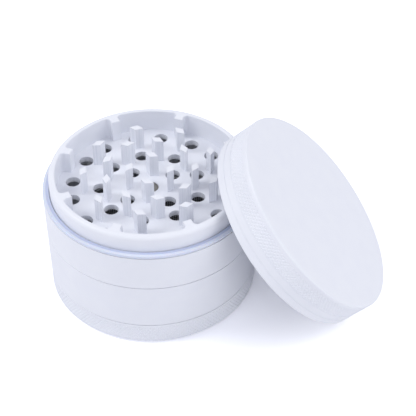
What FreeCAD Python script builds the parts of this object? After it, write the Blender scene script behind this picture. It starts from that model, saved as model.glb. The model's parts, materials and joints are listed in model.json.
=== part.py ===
import FreeCAD, Part
import math
import os

# A four-piece herb grinder with its lid taken off and leaning on the body. From the table up come
# a collector cup, a storage chamber with a sieve in its floor, and a grinding chamber whose toothed
# plate lies inside a collar. The three screw together, and the lid turns on the collar, on a slip
# ring. Units are millimetres, Z is up, and the origin is on the table under the cup's centre.

# Outer sizes of the stack
body_radius = 31.5
cup_height = 7.65
storage_height = 15.15
chamber_height = 11.8
foot_bevel = 1.0

# Stacked pieces meet on an inner land, and their seam stands open by a hair outside it
seam_gap = 0.2
seam_depth = 1.0
seam_round = 0.1

# The most that a round may take of the wall beside it, and how far a drill runs past what it cuts
round_share = 0.95
drill_overrun = 1.0

# Walls and floors: each wall is counted inwards from the body's outside
socket_wall = 2.35
spigot_wall = 1.9
ledge_width = 2.1
collar_wall = 1.9
cup_floor = 1.8
bowl_round = 3.0

# Screw joints between the three chambers
spigot_height = 5.0
thread_pitch = 2.5
thread_depth = 0.6
thread_root_width = 1.2
thread_crest_width = 0.6
thread_start = 1.0
thread_turns = 1.2
thread_clearance = 0.25
thread_bite = 0.2
socket_top_gap = 0.3

# Sieve in the floor of the storage chamber
sieve_seat_width = 1.4
sieve_seat_thickness = 1.2
mesh_thickness = 0.3
sieve_ring_height = 1.5
sieve_ring_round = 0.3
sieve_fit = 0.15

# Grinding plate and the collar that the lid turns on: a hole ring's gap is to the teeth outside it
collar_height = 5.95
collar_round = 1.2
plate_drop = 1.2
plate_thickness = 1.8
hole_diameter = 4.3
inner_hole_gap = 4.65
inner_hole_count = 4
inner_hole_angle = 41.0
middle_hole_gap = 4.6
middle_hole_count = 9
middle_hole_angle = 22.3
outer_hole_inset = 4.4
outer_hole_spread = 9.95
bay_count = 8
bay_angle = 4.1

# Bays milled into the collar's inner wall, with a straight-sided lug left between each two
lug_height = 2.8
lug_width = 2.6
bay_corner_radius = 1.2
bay_edge_bevel = 0.2

# Diamond teeth: two pairs of parallel faces at these angles to the radius, in three rings. Their tips
# stand a little proud of the collar
tooth_skew_side = 2.3
tooth_skew_angle = 38.0
tooth_cross_side = 2.5
tooth_cross_angle = 97.0
tooth_proud = 0.3
tooth_bite = 0.3
inner_tooth_ring = 6.0
inner_tooth_count = 4
inner_tooth_angle = 86.0
middle_tooth_gap = 6.15
middle_tooth_count = 9
middle_tooth_angle = 2.0
outer_tooth_gap = 5.4
outer_tooth_count = 9
outer_tooth_angle = 24.0

# Magnets that hold the lid on
magnet_diameter = 4.6
magnet_thickness = 1.2
magnet_edge = 0.2
magnet_fit = 0.1

# Slip ring on the ledge around the collar
slip_ring_thickness = 0.9
slip_ring_edge = 0.1
slip_ring_fit = 0.2
slip_ring_round = 0.2

# Lid
lid_height = 10.94
lid_top_thickness = 2.5
lid_top_round = 0.5
lid_rim_round = 0.3
lid_lead_in = 0.8
lid_corner_round = 0.5
lid_fit = 0.25
lid_tooth_recess = 1.5
lid_outer_tooth_recess = 2.9
lid_inner_tooth_count = 6
lid_middle_tooth_count = 9
lid_outer_tooth_count = 9
lid_boss_wall = 1.1
lid_groove_heights = (2.6, 5.0)
lid_groove_width = 0.25
lid_groove_depth = 0.1

# Knurled grip bands: each is turned down to the root of the knurl
knurl_depth = 0.15
cup_knurl_bottom_margin = 0.1
cup_knurl_top_margin = 0.65
lid_knurl_bottom = 5.35
lid_knurl_top_margin = 1.3

# How the lid leans on the body
lean_tilt = 46.97
lean_heading = -3.454
lean_side_shift = -4.01
lean_gap = 0.3
floor_gap = 0.2

# Heights and radii worked out from the sizes above
storage_bottom = cup_height
chamber_bottom = storage_bottom + storage_height
ledge_height = chamber_bottom + chamber_height
collar_top = ledge_height + collar_height
plate_top = ledge_height - plate_drop
plate_bottom = plate_top - plate_thickness
socket_depth = spigot_height + socket_top_gap
socket_radius = body_radius - socket_wall
spigot_radius = socket_radius - thread_clearance
bore_radius = spigot_radius - spigot_wall
sieve_seat_radius = bore_radius - sieve_seat_width
sieve_seat_bottom = storage_bottom + socket_depth
sieve_seat_top = sieve_seat_bottom + sieve_seat_thickness
mesh_top = sieve_seat_top + mesh_thickness
collar_radius = body_radius - ledge_width
collar_bore = collar_radius - collar_wall
lug_tip_radius = collar_bore - lug_height
outer_hole_ring = collar_bore - outer_hole_inset
outer_tooth_ring = lug_tip_radius - outer_tooth_gap
middle_hole_ring = outer_tooth_ring - middle_hole_gap
middle_tooth_ring = outer_tooth_ring - middle_tooth_gap
inner_hole_ring = middle_tooth_ring - inner_hole_gap
slip_ring_top = ledge_height + slip_ring_thickness
tooth_tip = collar_top + tooth_proud
lid_bore = collar_radius + lid_fit
lid_ceiling = lid_height - lid_top_thickness
magnet_radius = magnet_diameter / 2

origin = FreeCAD.Vector(0, 0, 0)
up = FreeCAD.Vector(0, 0, 1)


def turned(corners):
    """Turn a closed outline about Z. Each corner is (radius, height) or (radius, height, round)."""
    points = [FreeCAD.Vector(corner[0], 0, corner[1]) for corner in corners]
    rounds = [corner[2] if len(corner) > 2 else 0 for corner in corners]
    ends = []
    edges = []
    for i, corner in enumerate(points):
        if rounds[i] == 0:
            ends.append((corner, corner))
            continue
        after = (i + 1) % len(points)
        back = points[i - 1] - corner
        ahead = points[after] - corner
        half_angle = back.getAngle(ahead) / 2
        back_share = back.Length * rounds[i] / (rounds[i] + rounds[i - 1])
        ahead_share = ahead.Length * rounds[i] / (rounds[i] + rounds[after])
        room = round_share * min(back_share, ahead_share) * math.tan(half_angle)
        radius = min(rounds[i], room)
        run = radius / math.tan(half_angle)
        start = corner + back.normalize() * run
        finish = corner + ahead.normalize() * run
        inward = (back + ahead).normalize()
        middle = corner + inward * (radius / math.sin(half_angle) - radius)
        ends.append((start, finish))
        edges.append(Part.Arc(start, middle, finish).toShape())
    for i, (start, finish) in enumerate(ends):
        edges.append(Part.makeLine(finish, ends[(i + 1) % len(ends)][0]))
    outline = Part.Wire(Part.__sortEdges__(edges))
    return Part.Face(outline).revolve(origin, up, 360)


def around(shape, count, first_angle):
    """Copies of a shape spaced evenly about Z."""
    copies = []
    for i in range(count):
        copy = shape.copy()
        copy.rotate(origin, up, first_angle + i * 360 / count)
        copies.append(copy)
    return copies


def prism(outline, bottom, top):
    """A straight block on a closed outline of (x, y) corners."""
    corners = [FreeCAD.Vector(x, y, bottom) for x, y in outline]
    face = Part.Face(Part.makePolygon(corners + corners[:1]))
    return face.extrude(up * (top - bottom))


def tooth(ring_radius, bottom, top):
    """One diamond tooth on the X axis at a ring's radius."""
    skew_turn = math.radians(tooth_skew_angle)
    cross_turn = math.radians(tooth_cross_angle)
    skew_x = tooth_skew_side / 2 * math.cos(skew_turn)
    skew_y = tooth_skew_side / 2 * math.sin(skew_turn)
    cross_x = tooth_cross_side / 2 * math.cos(cross_turn)
    cross_y = tooth_cross_side / 2 * math.sin(cross_turn)
    outline = []
    for along, across in ((1, 1), (-1, 1), (-1, -1), (1, -1)):
        x = ring_radius + along * skew_x + across * cross_x
        y = along * skew_y + across * cross_y
        outline.append((x, y))
    return prism(outline, bottom, top)


def helix_bar(radius, outer_radius, root_width, crest_width, bottom, turns):
    """A bar of trapezoid section that climbs a helix from the X axis."""
    path = Part.Wire(Part.makeHelix(thread_pitch, turns * thread_pitch, radius))
    section = Part.makePolygon([
        FreeCAD.Vector(radius, 0, -root_width / 2),
        FreeCAD.Vector(outer_radius, 0, -crest_width / 2),
        FreeCAD.Vector(outer_radius, 0, crest_width / 2),
        FreeCAD.Vector(radius, 0, root_width / 2),
        FreeCAD.Vector(radius, 0, -root_width / 2),
    ])
    bar = path.makePipeShell([section], True, True)
    bar.translate(up * bottom)
    return bar


def thread_rib(shoulder):
    """The male thread of a spigot that stands on a shoulder."""
    inner = spigot_radius - thread_bite
    outer = spigot_radius + thread_depth
    bottom = shoulder + thread_start
    return helix_bar(inner, outer, thread_root_width, thread_crest_width, bottom, thread_turns)


def thread_groove(mouth):
    """The female thread of a socket, from below its mouth to past the end of the rib."""
    inner = socket_radius - thread_bite
    outer = socket_radius + thread_depth
    root = thread_root_width + 2 * thread_clearance
    crest = thread_crest_width + 2 * thread_clearance
    lead = math.ceil((thread_start + root) / thread_pitch)
    bottom = mouth + thread_start - lead * thread_pitch
    turns = lead + thread_turns + thread_clearance / thread_pitch
    return helix_bar(inner, outer, root, crest, bottom, turns)


def collector_cup():
    knurl_root = body_radius - knurl_depth
    knurl_bottom = foot_bevel + cup_knurl_bottom_margin
    knurl_top = cup_height - cup_knurl_top_margin
    rim = cup_height + spigot_height
    cup = turned([
        (0, 0),
        (body_radius - foot_bevel, 0),
        (body_radius, foot_bevel),
        (body_radius, knurl_bottom),
        (knurl_root, knurl_bottom),
        (knurl_root, knurl_top),
        (body_radius, knurl_top),
        (body_radius, cup_height, seam_round),
        (spigot_radius, cup_height),
        (spigot_radius, rim, seam_round),
        (bore_radius, rim, seam_round),
        (bore_radius, cup_floor, bowl_round),
        (0, cup_floor),
    ])
    return cup.fuse(thread_rib(cup_height))


def storage_chamber():
    rim = chamber_bottom + spigot_height
    chamber = turned([
        (socket_radius, storage_bottom, seam_round),
        (body_radius - seam_depth, storage_bottom),
        (body_radius - seam_depth, storage_bottom + seam_gap),
        (body_radius, storage_bottom + seam_gap, seam_round),
        (body_radius, chamber_bottom, seam_round),
        (spigot_radius, chamber_bottom),
        (spigot_radius, rim, seam_round),
        (bore_radius, rim, seam_round),
        (bore_radius, sieve_seat_top),
        (sieve_seat_radius, sieve_seat_top),
        (sieve_seat_radius, sieve_seat_bottom),
        (socket_radius, sieve_seat_bottom),
    ])
    return chamber.fuse(thread_rib(chamber_bottom)).cut(thread_groove(storage_bottom))


def sieve_mesh():
    disc = Part.makeCylinder(bore_radius - sieve_fit, mesh_thickness)
    disc.translate(up * sieve_seat_top)
    return disc


def sieve_ring():
    outer = bore_radius - sieve_fit
    top = mesh_top + sieve_ring_height
    return turned([
        (sieve_seat_radius, mesh_top),
        (outer, mesh_top),
        (outer, top, sieve_ring_round),
        (sieve_seat_radius, top, sieve_ring_round),
    ])


def plate_holes():
    """Drills for the drop holes: two inner rings, and two holes in each bay of the wall."""
    drill_length = plate_thickness + 2 * drill_overrun
    drill_bottom = plate_bottom - drill_overrun

    def drill(ring_radius):
        place = FreeCAD.Vector(ring_radius, 0, drill_bottom)
        return Part.makeCylinder(hole_diameter / 2, drill_length, place)

    drills = around(drill(inner_hole_ring), inner_hole_count, inner_hole_angle)
    drills += around(drill(middle_hole_ring), middle_hole_count, middle_hole_angle)
    for side in (-1, 1):
        drills += around(drill(outer_hole_ring), bay_count, bay_angle + side * outer_hole_spread)
    return drills


def plate_teeth():
    bottom = plate_top - tooth_bite
    teeth = around(tooth(inner_tooth_ring, bottom, tooth_tip), inner_tooth_count, inner_tooth_angle)
    teeth += around(tooth(middle_tooth_ring, bottom, tooth_tip), middle_tooth_count, middle_tooth_angle)
    teeth += around(tooth(outer_tooth_ring, bottom, tooth_tip), outer_tooth_count, outer_tooth_angle)
    return teeth


def bowl_outline(grow, height):
    """The outline of the bays and straight-sided lugs at a height, moved outwards by grow."""
    bore = collar_bore + grow
    tip = lug_tip_radius + grow
    half_width = lug_width / 2 - grow
    corner_side = lug_width / 2 + bay_corner_radius
    corner_ring = collar_bore - bay_corner_radius
    corner_out = math.sqrt(corner_ring**2 - corner_side**2)
    corner_turn = math.asin(corner_side / corner_ring)
    tip_out = math.sqrt(tip**2 - half_width**2)
    bay_turn = 2 * math.pi / bay_count

    def spot(out, side, turn):
        x = out * math.cos(turn) - side * math.sin(turn)
        y = out * math.sin(turn) + side * math.cos(turn)
        return FreeCAD.Vector(x, y, height)

    edges = []
    for i in range(bay_count):
        lug = math.radians(bay_angle) + (i + 0.5) * bay_turn
        tips = [spot(tip_out, side * half_width, lug) for side in (-1, 1)]
        edges.append(Part.Arc(tips[0], spot(tip, 0, lug), tips[1]).toShape())
        for side, tip_end in zip((-1, 1), tips):
            centre = spot(corner_out, side * corner_side, lug)
            flank_end = spot(corner_out, side * half_width, lug)
            bay_end = spot(bore, 0, lug + side * corner_turn)
            away = ((flank_end - centre) + (bay_end - centre)).normalize()
            middle = centre + away * (bay_corner_radius + grow)
            edges.append(Part.makeLine(tip_end, flank_end))
            edges.append(Part.Arc(flank_end, middle, bay_end).toShape())
        bay_ends = [spot(bore, 0, lug + turn) for turn in (corner_turn, bay_turn - corner_turn)]
        edges.append(Part.Arc(bay_ends[0], spot(bore, 0, lug + bay_turn / 2), bay_ends[1]).toShape())
    return Part.Wire(Part.__sortEdges__(edges))


def grinding_bowl():
    """Cutters for the space inside the collar and for the bevel along its top edge."""
    depth = collar_top - plate_top + drill_overrun
    bowl = Part.Face(bowl_outline(0, plate_top)).extrude(up * depth)
    bevel_bottom = bowl_outline(0, collar_top - bay_edge_bevel)
    bevel_top = bowl_outline(2 * bay_edge_bevel, collar_top + bay_edge_bevel)
    return [bowl, Part.makeLoft([bevel_bottom, bevel_top], True, True)]


def grinding_chamber():
    socket_top = chamber_bottom + socket_depth
    blank = turned([
        (socket_radius, chamber_bottom, seam_round),
        (body_radius - seam_depth, chamber_bottom),
        (body_radius - seam_depth, chamber_bottom + seam_gap),
        (body_radius, chamber_bottom + seam_gap, seam_round),
        (body_radius, ledge_height - seam_gap, seam_round),
        (body_radius - seam_depth, ledge_height - seam_gap),
        (body_radius - seam_depth, ledge_height),
        (collar_radius, ledge_height),
        (collar_radius, collar_top, collar_round),
        (0, collar_top),
        (0, plate_bottom),
        (bore_radius, plate_bottom),
        (bore_radius, socket_top),
        (socket_radius, socket_top),
    ])
    pocket_radius = magnet_radius + magnet_fit
    pocket_floor = FreeCAD.Vector(0, 0, plate_top - magnet_thickness)
    pocket = Part.makeCylinder(pocket_radius, magnet_thickness + drill_overrun, pocket_floor)
    chamber = blank.cut(grinding_bowl()).multiFuse(plate_teeth())
    return chamber.cut(plate_holes() + [pocket, thread_groove(chamber_bottom)])


def magnet(bottom):
    top = bottom + magnet_thickness
    return turned([
        (0, bottom),
        (magnet_radius, bottom, magnet_edge),
        (magnet_radius, top, magnet_edge),
        (0, top),
    ])


def slip_ring():
    inner = collar_radius + slip_ring_fit
    outer = body_radius - slip_ring_edge
    return turned([
        (inner, ledge_height),
        (outer, ledge_height),
        (outer, slip_ring_top, slip_ring_round),
        (inner, slip_ring_top, slip_ring_round),
    ])


def tooth_reach():
    """Half of a tooth's extent along the radius."""
    skew_part = tooth_skew_side * abs(math.cos(math.radians(tooth_skew_angle)))
    cross_part = tooth_cross_side * abs(math.cos(math.radians(tooth_cross_angle)))
    return (skew_part + cross_part) / 2


def lid_teeth():
    """Teeth that pass between the plate's rings, each ring midway between its neighbours."""
    inner_ring = (inner_tooth_ring + middle_tooth_ring) / 2
    middle_ring = (middle_tooth_ring + outer_tooth_ring) / 2
    outer_ring = (outer_tooth_ring + lug_tip_radius + tooth_reach()) / 2
    top = lid_ceiling + tooth_bite
    teeth = around(tooth(inner_ring, lid_tooth_recess, top), lid_inner_tooth_count, 0)
    teeth += around(tooth(middle_ring, lid_tooth_recess, top), lid_middle_tooth_count, 0)
    teeth += around(tooth(outer_ring, lid_outer_tooth_recess, top), lid_outer_tooth_count, 0)
    return teeth


def lid_cap():
    """The lid in its own frame: open rim at height 0, closed top above."""
    knurl_root = body_radius - knurl_depth
    knurl_top = lid_height - lid_knurl_top_margin
    groove_root = body_radius - lid_groove_depth
    side = []
    for height in lid_groove_heights:
        low = height - lid_groove_width / 2
        high = height + lid_groove_width / 2
        side += [(body_radius, low), (groove_root, low), (groove_root, high), (body_radius, high)]
    side += [
        (body_radius, lid_knurl_bottom),
        (knurl_root, lid_knurl_bottom),
        (knurl_root, knurl_top),
        (body_radius, knurl_top),
    ]
    shell = turned(
        [(lid_bore, 0, lid_lead_in), (body_radius, 0, lid_rim_round)]
        + side
        + [
            (body_radius, lid_height, lid_top_round),
            (0, lid_height),
            (0, lid_ceiling),
            (lid_bore, lid_ceiling, lid_corner_round),
        ]
    )
    pocket_radius = magnet_radius + magnet_fit
    boss_length = lid_ceiling + tooth_bite - lid_tooth_recess
    boss_tip = FreeCAD.Vector(0, 0, lid_tooth_recess)
    boss = Part.makeCylinder(pocket_radius + lid_boss_wall, boss_length, boss_tip)
    pocket_start = FreeCAD.Vector(0, 0, lid_tooth_recess - drill_overrun)
    pocket = Part.makeCylinder(pocket_radius, magnet_thickness + drill_overrun, pocket_start)
    return shell.multiFuse(lid_teeth() + [boss]).cut(pocket)


def lean_placement():
    """Where the lid stands: rim on the table, its inside over the collar's edge."""
    tilt = math.radians(lean_tilt)
    heading = math.radians(lean_heading)
    sine = math.sin(tilt)
    cosine = math.cos(tilt)
    centre_height = body_radius * sine + floor_gap
    collar_reach = sine * (collar_radius - collar_round) + cosine * (collar_top - collar_round)
    collar_stop = collar_reach + collar_round - lid_outer_tooth_recess
    ledge_stop = sine * (body_radius - slip_ring_edge) + cosine * slip_ring_top - lid_tooth_recess
    distance = (max(collar_stop, ledge_stop) + lean_gap - cosine * centre_height) / sine
    centre = FreeCAD.Vector(
        distance * math.cos(heading) - lean_side_shift * math.sin(heading),
        distance * math.sin(heading) + lean_side_shift * math.cos(heading),
        centre_height,
    )
    axis = FreeCAD.Vector(sine * math.cos(heading), sine * math.sin(heading), cosine)
    return FreeCAD.Placement(centre, FreeCAD.Rotation(up, axis))


def leaning(shape):
    shape.Placement = lean_placement().multiply(shape.Placement)
    return shape


nodes = {
    "collector_cup": collector_cup(),
    "storage_chamber": storage_chamber(),
    "sieve_mesh": sieve_mesh(),
    "sieve_ring": sieve_ring(),
    "grinding_chamber": grinding_chamber(),
    "plate_magnet": magnet(plate_top - magnet_thickness),
    "slip_ring": slip_ring(),
    "lid_cap": leaning(lid_cap()),
    "lid_magnet": leaning(magnet(lid_tooth_recess)),
}

os.makedirs("parts", exist_ok=True)
for name, shape in nodes.items():
    shape.exportStep(f"parts/{name}.step")
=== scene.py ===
import json
import math

import bpy
from mathutils import Matrix, Vector


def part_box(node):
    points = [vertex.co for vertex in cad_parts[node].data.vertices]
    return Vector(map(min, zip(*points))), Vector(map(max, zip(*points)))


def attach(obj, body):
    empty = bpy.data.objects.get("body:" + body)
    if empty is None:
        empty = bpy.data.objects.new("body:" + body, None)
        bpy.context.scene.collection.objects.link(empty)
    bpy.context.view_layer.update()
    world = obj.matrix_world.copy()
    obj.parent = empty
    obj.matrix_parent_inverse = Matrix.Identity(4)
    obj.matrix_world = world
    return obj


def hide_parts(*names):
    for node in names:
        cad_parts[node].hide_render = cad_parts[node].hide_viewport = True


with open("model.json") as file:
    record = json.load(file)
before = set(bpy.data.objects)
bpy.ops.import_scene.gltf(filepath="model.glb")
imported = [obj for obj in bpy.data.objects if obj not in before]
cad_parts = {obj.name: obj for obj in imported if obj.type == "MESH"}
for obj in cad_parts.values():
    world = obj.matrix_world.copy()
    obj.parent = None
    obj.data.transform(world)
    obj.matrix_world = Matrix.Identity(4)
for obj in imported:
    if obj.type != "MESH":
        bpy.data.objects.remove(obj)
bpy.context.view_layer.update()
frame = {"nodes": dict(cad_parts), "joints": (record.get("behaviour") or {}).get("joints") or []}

# Collector cup
# The bottom cup, which stands on the table and catches the powder. It is turned from aluminium bar, and a
# diamond knurl is rolled round its foot as a grip. A white ceramic coat is sprayed on and baked.

# Lengths are in metres, apart from those that end in mm.
mm_in_metre = 1000
cup_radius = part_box("collector_cup")[1].x
cup_grip_bottom = 0.0011
cup_grip_top = 0.0070
knurl_depth = 0.00015
knurl_stroke_gap = 0.0009
knurl_angle = math.radians(37)
knurl_flat_share = 0.35
knurl_backing = 0.0001


def linear(hex_colour):
    """An sRGB hex colour as linear red, green, blue and alpha."""
    channels = [int(hex_colour[i:i + 2], 16) / 255 for i in (1, 3, 5)]
    return [c / 12.92 if c <= 0.04045 else ((c + 0.055) / 1.055) ** 2.4 for c in channels] + [1.0]


def add_material(name):
    """A material with an empty node tree."""
    material = bpy.data.materials.new(name)
    material.use_nodes = True
    material.node_tree.nodes.clear()
    return material


def add_node(tree, kind, sockets, **settings):
    """A node with its settings. Each socket takes a value, or the output that feeds it."""
    node = tree.nodes.new(kind)
    for name, value in settings.items():
        setattr(node, name, value)
    for name, value in sockets.items():
        if isinstance(value, bpy.types.NodeSocket):
            tree.links.new(value, node.inputs[name])
        else:
            node.inputs[name].default_value = value
    return node


def add_piece(name, points, faces, material):
    """An object in the scene, with a mesh of these points and faces."""
    mesh = bpy.data.meshes.new(name)
    mesh.from_pydata(points, [], faces)
    mesh.validate()
    mesh.materials.append(material)
    piece = bpy.data.objects.new(name, mesh)
    bpy.context.scene.collection.objects.link(piece)
    return piece


# Baked ceramic coat: an even white with a cool cast. Its orange peel is too shallow to see as bumps, and
# only breaks up the highlights, so light spreads softly over every edge.
coat_white = "#EEF0F6"
coat_thin_white = "#ECEEF5"
coat_cloud_mm = 5.0
coat_cloud_span = (0.3, 0.7)
coat_peel_mm = 0.9
coat_peel_height = 0.00002
coat_peel_strength = 0.15
coat_roughness = (0.38, 0.52)
coat_ior = 1.5
white_coat = add_material("white_ceramic_coat")
tree = white_coat.node_tree
place = add_node(tree, "ShaderNodeTexCoord", {}).outputs["Object"]
peel = add_node(tree, "ShaderNodeTexNoise", {
    "Vector": place,
    "Scale": mm_in_metre / coat_peel_mm,
    "Detail": 3.0,
})
cloud = add_node(tree, "ShaderNodeTexNoise", {
    "Vector": place,
    "Scale": mm_in_metre / coat_cloud_mm,
    "Detail": 2.0,
})
coat_tint = add_node(tree, "ShaderNodeValToRGB", {"Fac": cloud.outputs["Fac"]})
coat_whites = (coat_thin_white, coat_white)
for stop, position, colour in zip(coat_tint.color_ramp.elements, coat_cloud_span, coat_whites):
    stop.position = position
    stop.color = linear(colour)
gloss = add_node(tree, "ShaderNodeMapRange", {
    "Value": peel.outputs["Fac"],
    "To Min": coat_roughness[0],
    "To Max": coat_roughness[1],
})
coat_bumps = add_node(tree, "ShaderNodeBump", {
    "Height": peel.outputs["Fac"],
    "Strength": coat_peel_strength,
    "Distance": coat_peel_height,
})
coat_shader = add_node(tree, "ShaderNodeBsdfPrincipled", {
    "Base Color": coat_tint.outputs["Color"],
    "Roughness": gloss.outputs["Result"],
    "Normal": coat_bumps.outputs["Normal"],
    "IOR": coat_ior,
})
add_node(tree, "ShaderNodeOutputMaterial", {"Surface": coat_shader.outputs["BSDF"]})


def knurl_band(name, radius, bottom, top):
    """A closed ring on the Z axis with rows of flat-topped diamonds round its outside."""
    diamond_width = knurl_stroke_gap / math.cos(knurl_angle)
    diamond_height = diamond_width / math.tan(knurl_angle)
    rows = 2 * round((top - bottom) / diamond_height)
    row_height = (top - bottom) / rows
    steps = 2 * round(math.pi * radius * 2 / diamond_width)
    root_radius = radius - knurl_depth
    inner_radius = root_radius - knurl_backing
    points = []
    faces = []
    shared = {}

    def point(step, row, distance):
        """The number of a new point, this far from the axis."""
        turn = 2 * math.pi * step / steps
        points.append((distance * math.cos(turn), distance * math.sin(turn), bottom + row * row_height))
        return len(points) - 1

    def shared_point(step, row, distance):
        """The number of a point that neighbouring diamonds share."""
        key = (step % steps, row, distance)
        if key not in shared:
            shared[key] = point(step, row, distance)
        return shared[key]

    for row in range(rows + 1):
        for step in range(row % 2, steps, 2):
            left = shared_point(step - 1, row, root_radius)
            right = shared_point(step + 1, row, root_radius)
            left_flat = point(step - knurl_flat_share, row, radius)
            right_flat = point(step + knurl_flat_share, row, radius)
            flat = [left_flat, right_flat]
            if row > 0:
                low = shared_point(step, row - 1, root_radius)
                low_flat = point(step, row - knurl_flat_share, radius)
                flat = [left_flat, low_flat, right_flat]
                faces.append((left, low, low_flat, left_flat))
                faces.append((low, right, right_flat, low_flat))
            if row < rows:
                high = shared_point(step, row + 1, root_radius)
                high_flat = point(step, row + knurl_flat_share, radius)
                flat.append(high_flat)
                faces.append((right, high, high_flat, right_flat))
                faces.append((high, left, left_flat, high_flat))
            faces.append(flat)
            if row in (0, rows):
                inner_left = shared_point(step - 1, row, inner_radius)
                inner_right = shared_point(step + 1, row, inner_radius)
                end = (inner_left, inner_right, right, right_flat, left_flat, left)
                faces.append(end if row == 0 else end[::-1])
            if row == rows:
                low_left = shared_point(step - 1, 0, inner_radius)
                low_right = shared_point(step + 1, 0, inner_radius)
                faces.append((inner_left, inner_right, low_right, low_left))
    return add_piece(name, points, faces, white_coat)


frame["nodes"]["collector_cup"].data.materials[0] = white_coat
cup_knurl = knurl_band("collector_knurl", cup_radius, cup_grip_bottom, cup_grip_top)
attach(cup_knurl, "collector")

# Storage chamber
# The middle body, which screws onto the cup and holds the ground herb. It is turned from the same aluminium
# bar and sprayed with the same coat, inside and out.
frame["nodes"]["storage_chamber"].data.materials[0] = white_coat

# Sieve mesh
# A disc of plain woven stainless wire that lies on the step in the storage chamber's floor. Real sieves have
# about four wires in a millimetre: these are some two and a half times as coarse, so that the weave shows.
wire_pitch = 0.00065
wire_radius = 0.000075
wire_sides = 4
steps_per_pitch = 2
fewest_steps = 2
mesh_low, mesh_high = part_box("sieve_mesh")
mesh_radius = mesh_high.x - wire_radius
mesh_level = (mesh_low.z + mesh_high.z) / 2

# Drawn stainless wire: a grey metal, a little mottled and dull from the rolling. Both greys are painted
# darker than bare steel, as painted shade, so that the drop holes above the wire look dark.
steel_bright_in_painted_shade = "#8C8B89"
steel_dull_in_painted_shade = "#5E5D5C"
steel_mottle_mm = 0.3
steel_roughness = (0.25, 0.4)
steel_wire = add_material("stainless_steel_wire")
tree = steel_wire.node_tree
place = add_node(tree, "ShaderNodeTexCoord", {}).outputs["Object"]
mottle = add_node(tree, "ShaderNodeTexNoise", {
    "Vector": place,
    "Scale": mm_in_metre / steel_mottle_mm,
    "Detail": 2.0,
})
tint = add_node(tree, "ShaderNodeValToRGB", {"Fac": mottle.outputs["Fac"]})
# Painted shade: both greys are darker than bare steel, so the drop holes look dark; the mottle between them
# is the wire's own.
for stop, colour in zip(tint.color_ramp.elements, (steel_dull_in_painted_shade, steel_bright_in_painted_shade)):
    stop.color = linear(colour)
gloss = add_node(tree, "ShaderNodeMapRange", {
    "Value": mottle.outputs["Fac"],
    "To Min": steel_roughness[0],
    "To Max": steel_roughness[1],
})
shader = add_node(tree, "ShaderNodeBsdfPrincipled", {
    "Base Color": tint.outputs["Color"],
    "Roughness": gloss.outputs["Result"],
    "Metallic": 1.0,
})
add_node(tree, "ShaderNodeOutputMaterial", {"Surface": shader.outputs["BSDF"]})

points = []
faces = []
reach = int(mesh_radius / wire_pitch)
for along_x in (False, True):
    for wire in range(-reach, reach + 1):
        offset = wire * wire_pitch
        half_length = math.sqrt(mesh_radius ** 2 - offset ** 2)
        count = max(fewest_steps, round(2 * half_length / wire_pitch * steps_per_pitch))
        first = len(points)
        for i in range(count + 1):
            along = half_length * (2 * i / count - 1)
            # Each wire goes over where its neighbours and the wires that cross it go under.
            phase = math.pi * (along / wire_pitch + wire + (1 if along_x else 0))
            level = mesh_level + wire_radius * math.cos(phase)
            for side in range(wire_sides):
                turn = 2 * math.pi * side / wire_sides
                beside = offset + wire_radius * math.cos(turn)
                height = level + wire_radius * math.sin(turn)
                points.append((along, beside, height) if along_x else (beside, along, height))
        for i in range(count):
            for side in range(wire_sides):
                here = first + i * wire_sides + side
                beyond = first + i * wire_sides + (side + 1) % wire_sides
                quad = (here, beyond, beyond + wire_sides, here + wire_sides)
                faces.append(quad if along_x else quad[::-1])
        ends = [first + side for side in range(wire_sides)]
        tips = [first + count * wire_sides + side for side in range(wire_sides)]
        faces.append(ends[::-1] if along_x else ends)
        faces.append(tips if along_x else tips[::-1])
woven_sieve = add_piece("woven_sieve", points, faces, steel_wire)
woven_sieve.data.shade_smooth()
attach(woven_sieve, "storage")
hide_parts("sieve_mesh")

# Sieve ring
# The ring that is pressed into the storage chamber over the sieve and holds it flat. It is turned from
# aluminium tube and left bare, so its tool marks show.


def distance_from_axis(tree, place):
    """The output that tells how far a place lies from the Z axis, which all the chambers are turned on."""
    no_height = (1.0, 1.0, 0.0)
    outward = add_node(tree, "ShaderNodeVectorMath", {0: place, 1: no_height}, operation="MULTIPLY")
    distance = add_node(tree, "ShaderNodeVectorMath", {0: outward.outputs["Vector"]}, operation="LENGTH")
    return distance.outputs["Value"]


# Bare turned aluminium: a pale grey metal whose tool marks run round the ring.
aluminium_bright = "#D9DADC"
aluminium_dull = "#BFC1C4"
tool_mark_mm = 0.25
aluminium_roughness = (0.25, 0.45)
turned_aluminium = add_material("bare_turned_aluminium")
tree = turned_aluminium.node_tree
place = add_node(tree, "ShaderNodeTexCoord", {}).outputs["Object"]
split = add_node(tree, "ShaderNodeSeparateXYZ", {"Vector": place})
tool_path = add_node(tree, "ShaderNodeMath", {
    0: distance_from_axis(tree, place),
    1: split.outputs["Z"],
}, operation="ADD")
marks = add_node(tree, "ShaderNodeTexNoise", {
    "W": tool_path.outputs["Value"],
    "Scale": mm_in_metre / tool_mark_mm,
    "Detail": 2.0,
}, noise_dimensions="1D")
tint = add_node(tree, "ShaderNodeValToRGB", {"Fac": marks.outputs["Fac"]})
for stop, colour in zip(tint.color_ramp.elements, (aluminium_dull, aluminium_bright)):
    stop.color = linear(colour)
gloss = add_node(tree, "ShaderNodeMapRange", {
    "Value": marks.outputs["Fac"],
    "To Min": aluminium_roughness[0],
    "To Max": aluminium_roughness[1],
})
shader = add_node(tree, "ShaderNodeBsdfPrincipled", {
    "Base Color": tint.outputs["Color"],
    "Roughness": gloss.outputs["Result"],
    "Metallic": 1.0,
})
add_node(tree, "ShaderNodeOutputMaterial", {"Surface": shader.outputs["BSDF"]})
frame["nodes"]["sieve_ring"].data.materials[0] = turned_aluminium

# Grinding chamber
# The upper body, with the toothed plate, drop holes and collar milled from one piece of aluminium. It screws
# onto the storage chamber and has the same coat, which also lines the holes.
teeth_radius = 0.0215
upright_limit = 0.5

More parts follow.
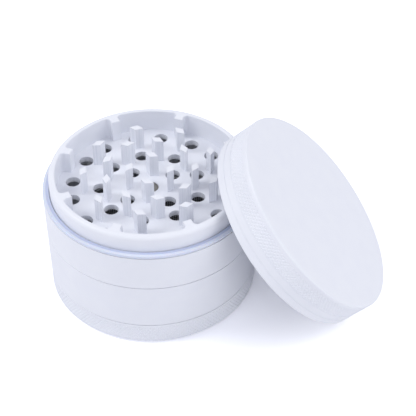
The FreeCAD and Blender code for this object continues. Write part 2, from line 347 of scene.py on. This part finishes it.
# The same coat over milled teeth: the cutter's lines show through it as faint upright streaks on their
# sides. Real lines are finer: these are drawn about twice as wide, so that they show.
cutter_line_shade = "#E5E8EF"
cutter_line_mm = 0.45
cutter_line_span = (0.4, 0.65)
cutter_line_height = 0.00003
cutter_line_strength = 0.35
milled_coat = white_coat.copy()
milled_coat.name = "white_ceramic_coat_over_milling"
tree = milled_coat.node_tree
place = add_node(tree, "ShaderNodeTexCoord", {})
lines = add_node(tree, "ShaderNodeTexNoise", {
    "Vector": place.outputs["Object"],
    "Scale": mm_in_metre / cutter_line_mm,
    "Detail": 1.0,
}, noise_dimensions="2D")
streak = add_node(tree, "ShaderNodeMapRange", {
    "Value": lines.outputs["Fac"],
    "From Min": cutter_line_span[0],
    "From Max": cutter_line_span[1],
})
facing = add_node(tree, "ShaderNodeSeparateXYZ", {"Vector": place.outputs["Normal"]})
tilt = add_node(tree, "ShaderNodeMath", {0: facing.outputs["Z"]}, operation="ABSOLUTE")
upright = add_node(tree, "ShaderNodeMath", {
    0: tilt.outputs["Value"],
    1: upright_limit,
}, operation="LESS_THAN")
among_teeth = add_node(tree, "ShaderNodeMath", {
    0: distance_from_axis(tree, place.outputs["Object"]),
    1: teeth_radius,
}, operation="LESS_THAN")
milled = add_node(tree, "ShaderNodeMath", {
    0: upright.outputs["Value"],
    1: among_teeth.outputs["Value"],
}, operation="MULTIPLY")
amount = add_node(tree, "ShaderNodeMath", {
    0: streak.outputs["Result"],
    1: milled.outputs["Value"],
}, operation="MULTIPLY")
# The sockets of a colour mix share their names with other kinds of mix, so these are picked by number.
mix_amount = 0
mix_from = 6
mix_to = 7
mix_result = 2
shaded = add_node(tree, "ShaderNodeMix", {
    mix_amount: amount.outputs["Value"],
    mix_from: tree.nodes[coat_tint.name].outputs["Color"],
    mix_to: linear(cutter_line_shade),
}, data_type="RGBA")
ridges = add_node(tree, "ShaderNodeBump", {
    "Height": amount.outputs["Value"],
    "Strength": cutter_line_strength,
    "Distance": cutter_line_height,
    "Normal": tree.nodes[coat_bumps.name].outputs["Normal"],
})
shader = tree.nodes[coat_shader.name]
tree.links.new(shaded.outputs[mix_result], shader.inputs["Base Color"])
tree.links.new(ridges.outputs["Normal"], shader.inputs["Normal"])
frame["nodes"]["grinding_chamber"].data.materials[0] = milled_coat

# Plate magnet
# A small disc magnet glued into the middle of the plate, which holds the lid on. It is sintered, then plated
# with nickel.

# Barrel-plated nickel: a warm grey metal, slightly clouded, with a satin shine.
nickel_bright = "#989692"
nickel_dull = "#757471"
plating_cloud_mm = 1.5
nickel_roughness = (0.3, 0.5)
nickel_plate = add_material("nickel_plate")
tree = nickel_plate.node_tree
place = add_node(tree, "ShaderNodeTexCoord", {}).outputs["Object"]
cloud = add_node(tree, "ShaderNodeTexNoise", {
    "Vector": place,
    "Scale": mm_in_metre / plating_cloud_mm,
    "Detail": 3.0,
})
tint = add_node(tree, "ShaderNodeValToRGB", {"Fac": cloud.outputs["Fac"]})
for stop, colour in zip(tint.color_ramp.elements, (nickel_dull, nickel_bright)):
    stop.color = linear(colour)
gloss = add_node(tree, "ShaderNodeMapRange", {
    "Value": cloud.outputs["Fac"],
    "To Min": nickel_roughness[0],
    "To Max": nickel_roughness[1],
})
shader = add_node(tree, "ShaderNodeBsdfPrincipled", {
    "Base Color": tint.outputs["Color"],
    "Roughness": gloss.outputs["Result"],
    "Metallic": 1.0,
})
add_node(tree, "ShaderNodeOutputMaterial", {"Surface": shader.outputs["BSDF"]})
frame["nodes"]["plate_magnet"].data.materials[0] = nickel_plate

# Slip ring
# A flat ring that lies loose on the ledge round the collar, so that the lid turns without scraping. It is
# cut from a sheet of natural nylon.

# Natural nylon: milky and slightly blue, so light passes into it. Bands of painted shade and painted
# highlight run round it, deeper and paler by turns, for the shade under the collar and the light on its
# edges.
nylon_pale_and_painted_light = "#E0E5F2"
nylon_painted_shade = "#C6CEE6"
painted_band_mm = 0.9
painted_band_span = (0.35, 0.65)
nylon_roughness = (0.3, 0.42)
nylon_ior = 1.53
nylon_milkiness = 0.5
nylon_depth_mm = 0.6
nylon_depth_by_colour = (0.6, 0.8, 1.0)
natural_nylon = add_material("natural_nylon")
tree = natural_nylon.node_tree
place = add_node(tree, "ShaderNodeTexCoord", {}).outputs["Object"]
lines = add_node(tree, "ShaderNodeTexNoise", {
    "W": distance_from_axis(tree, place),
    "Scale": mm_in_metre / painted_band_mm,
    "Detail": 1.0,
}, noise_dimensions="1D")
# Painted shade and painted highlight: bands round the ring, deeper and paler by turns, for the shade under
# the collar.
tint = add_node(tree, "ShaderNodeValToRGB", {"Fac": lines.outputs["Fac"]})
for stop, position, colour in zip(tint.color_ramp.elements, painted_band_span, (nylon_painted_shade, nylon_pale_and_painted_light)):
    stop.position = position
    stop.color = linear(colour)
gloss = add_node(tree, "ShaderNodeMapRange", {
    "Value": lines.outputs["Fac"],
    "To Min": nylon_roughness[0],
    "To Max": nylon_roughness[1],
})
shader = add_node(tree, "ShaderNodeBsdfPrincipled", {
    "Base Color": tint.outputs["Color"],
    "Roughness": gloss.outputs["Result"],
    "IOR": nylon_ior,
    "Subsurface Weight": nylon_milkiness,
    "Subsurface Radius": nylon_depth_by_colour,
    "Subsurface Scale": nylon_depth_mm / mm_in_metre,
})
add_node(tree, "ShaderNodeOutputMaterial", {"Surface": shader.outputs["BSDF"]})
frame["nodes"]["slip_ring"].data.materials[0] = natural_nylon

# Lid
# The cap that turns on the collar, taken off here and leaning on the body. It is turned from aluminium with
# its teeth milled inside, and has a rolled knurl and two thin grooves round its grip. It has the same coat.

# The grip's two levels are measured from the lid's rim, along its own axis.
lid_grip_bottom = 0.00535
lid_grip_top = 0.00964
lid_turn = next(joint for joint in frame["joints"] if joint["name"] == "lid_turn")
lid_lean = Vector(lid_turn["axis"]).to_track_quat("Z", "Y").to_matrix().to_4x4()
lid_place = Matrix.Translation(lid_turn["pos_m"]) @ lid_lean
frame["nodes"]["lid_cap"].data.materials[0] = white_coat
lid_knurl = knurl_band("lid_knurl", cup_radius, lid_grip_bottom, lid_grip_top)
lid_knurl.data.transform(lid_place)
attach(lid_knurl, "lid")

# Lid magnet
# The disc magnet glued into the boss in the middle of the lid, facing the plate's. It is sintered, then
# plated with the same nickel.
frame["nodes"]["lid_magnet"].data.materials[0] = nickel_plate

# Table
# The white paper that the grinder stands on, a hair under the cup so that the two share no plane. What the
# camera sees of it is lifted to full white, so that only the soft shadow stays. Metal shows it as it is lit.
table_size = 1.2
table_level = -0.00002
table_colour = "#F4F4F6"
table_lift = 1.66
white_sheet = add_material("white_paper_sheet")
tree = white_sheet.node_tree
paper = add_node(tree, "ShaderNodeBsdfDiffuse", {"Color": linear(table_colour)})
lifted = add_node(tree, "ShaderNodeBsdfDiffuse", {"Color": [table_lift * c for c in linear(table_colour)]})
rays = add_node(tree, "ShaderNodeLightPath", {})
sheet = add_node(tree, "ShaderNodeMixShader", {
    0: rays.outputs["Is Camera Ray"],
    1: paper.outputs["BSDF"],
    2: lifted.outputs["BSDF"],
})
add_node(tree, "ShaderNodeOutputMaterial", {"Surface": sheet.outputs["Shader"]})
half_table = table_size / 2
table_corners = [
    (-half_table, -half_table, table_level),
    (half_table, -half_table, table_level),
    (half_table, half_table, table_level),
    (-half_table, half_table, table_level),
]
table = add_piece("table", table_corners, [(0, 1, 2, 3)], white_sheet)

# Studio light
# A white tent round the table, lit from all sides, with large soft lamps above it to the left, the right and
# the front, and a low one to the front right. Seen directly, or in metal, the tent is plain white.
tent_colour = "#EEF0FA"
tent_strength = 0.67
tent_seen_colour = "#FFFFFF"
tent_seen_strength = 1.0
world = bpy.data.worlds.new("white_tent")
bpy.context.scene.world = world
world.use_nodes = True
tree = world.node_tree
tree.nodes.clear()
glow = add_node(tree, "ShaderNodeBackground", {
    "Color": linear(tent_colour),
    "Strength": tent_strength,
})
white = add_node(tree, "ShaderNodeBackground", {
    "Color": linear(tent_seen_colour),
    "Strength": tent_seen_strength,
})
rays = add_node(tree, "ShaderNodeLightPath", {})
seen = rays.outputs["Is Camera Ray"]
for ray in ("Is Glossy Ray", "Is Transmission Ray"):
    either = add_node(tree, "ShaderNodeMath", {0: seen, 1: rays.outputs[ray]}, operation="MAXIMUM")
    seen = either.outputs["Value"]
tent = add_node(tree, "ShaderNodeMixShader", {
    0: seen,
    1: glow.outputs["Background"],
    2: white.outputs["Background"],
})
add_node(tree, "ShaderNodeOutputWorld", {"Surface": tent.outputs["Shader"]})

# Each softbox has its place and its power in watts.
softbox_size = 0.5
softbox_aim = Vector((0.015, -0.003, 0.02))
softboxes = {
    "left_softbox": (Vector((-0.7, 0.0, 0.7)), 3.2),
    "right_softbox": (Vector((0.7, 0.0, 0.7)), 1.9),
    "front_softbox": (Vector((0.0, -0.8, 0.6)), 0.5),
    "low_softbox": (Vector((0.7, -0.65, 0.25)), 1.0),
}
for name, (softbox_place, power) in softboxes.items():
    softbox = bpy.data.lights.new(name, "AREA")
    softbox.shape = "DISK"
    softbox.size = softbox_size
    softbox.energy = power
    lamp = bpy.data.objects.new(name, softbox)
    lamp.location = softbox_place
    lamp.rotation_euler = (softbox_aim - softbox_place).to_track_quat("-Z", "Y").to_euler()
    bpy.context.scene.collection.objects.link(lamp)

# Camera
# A long lens that looks down on the grinder from the front. Its place, pitch and length are the ones that
# lay the edges of the solids over those in the photograph.
camera_place = Vector((0.016935, -0.249469, 0.250145))
camera_pitch = math.radians(47.943)
lens_length_mm = 97.15
sensor_width_mm = 36.0
nearest_seen = 0.01
camera_data = bpy.data.cameras.new("camera")
camera_data.lens = lens_length_mm
camera_data.sensor_width = sensor_width_mm
camera_data.clip_start = nearest_seen
camera = bpy.data.objects.new("camera", camera_data)
camera.location = camera_place
camera.rotation_euler = (camera_pitch, 0.0, 0.0)
bpy.context.scene.collection.objects.link(camera)
bpy.context.scene.camera = camera
bpy.context.scene.view_settings.view_transform = "Standard"
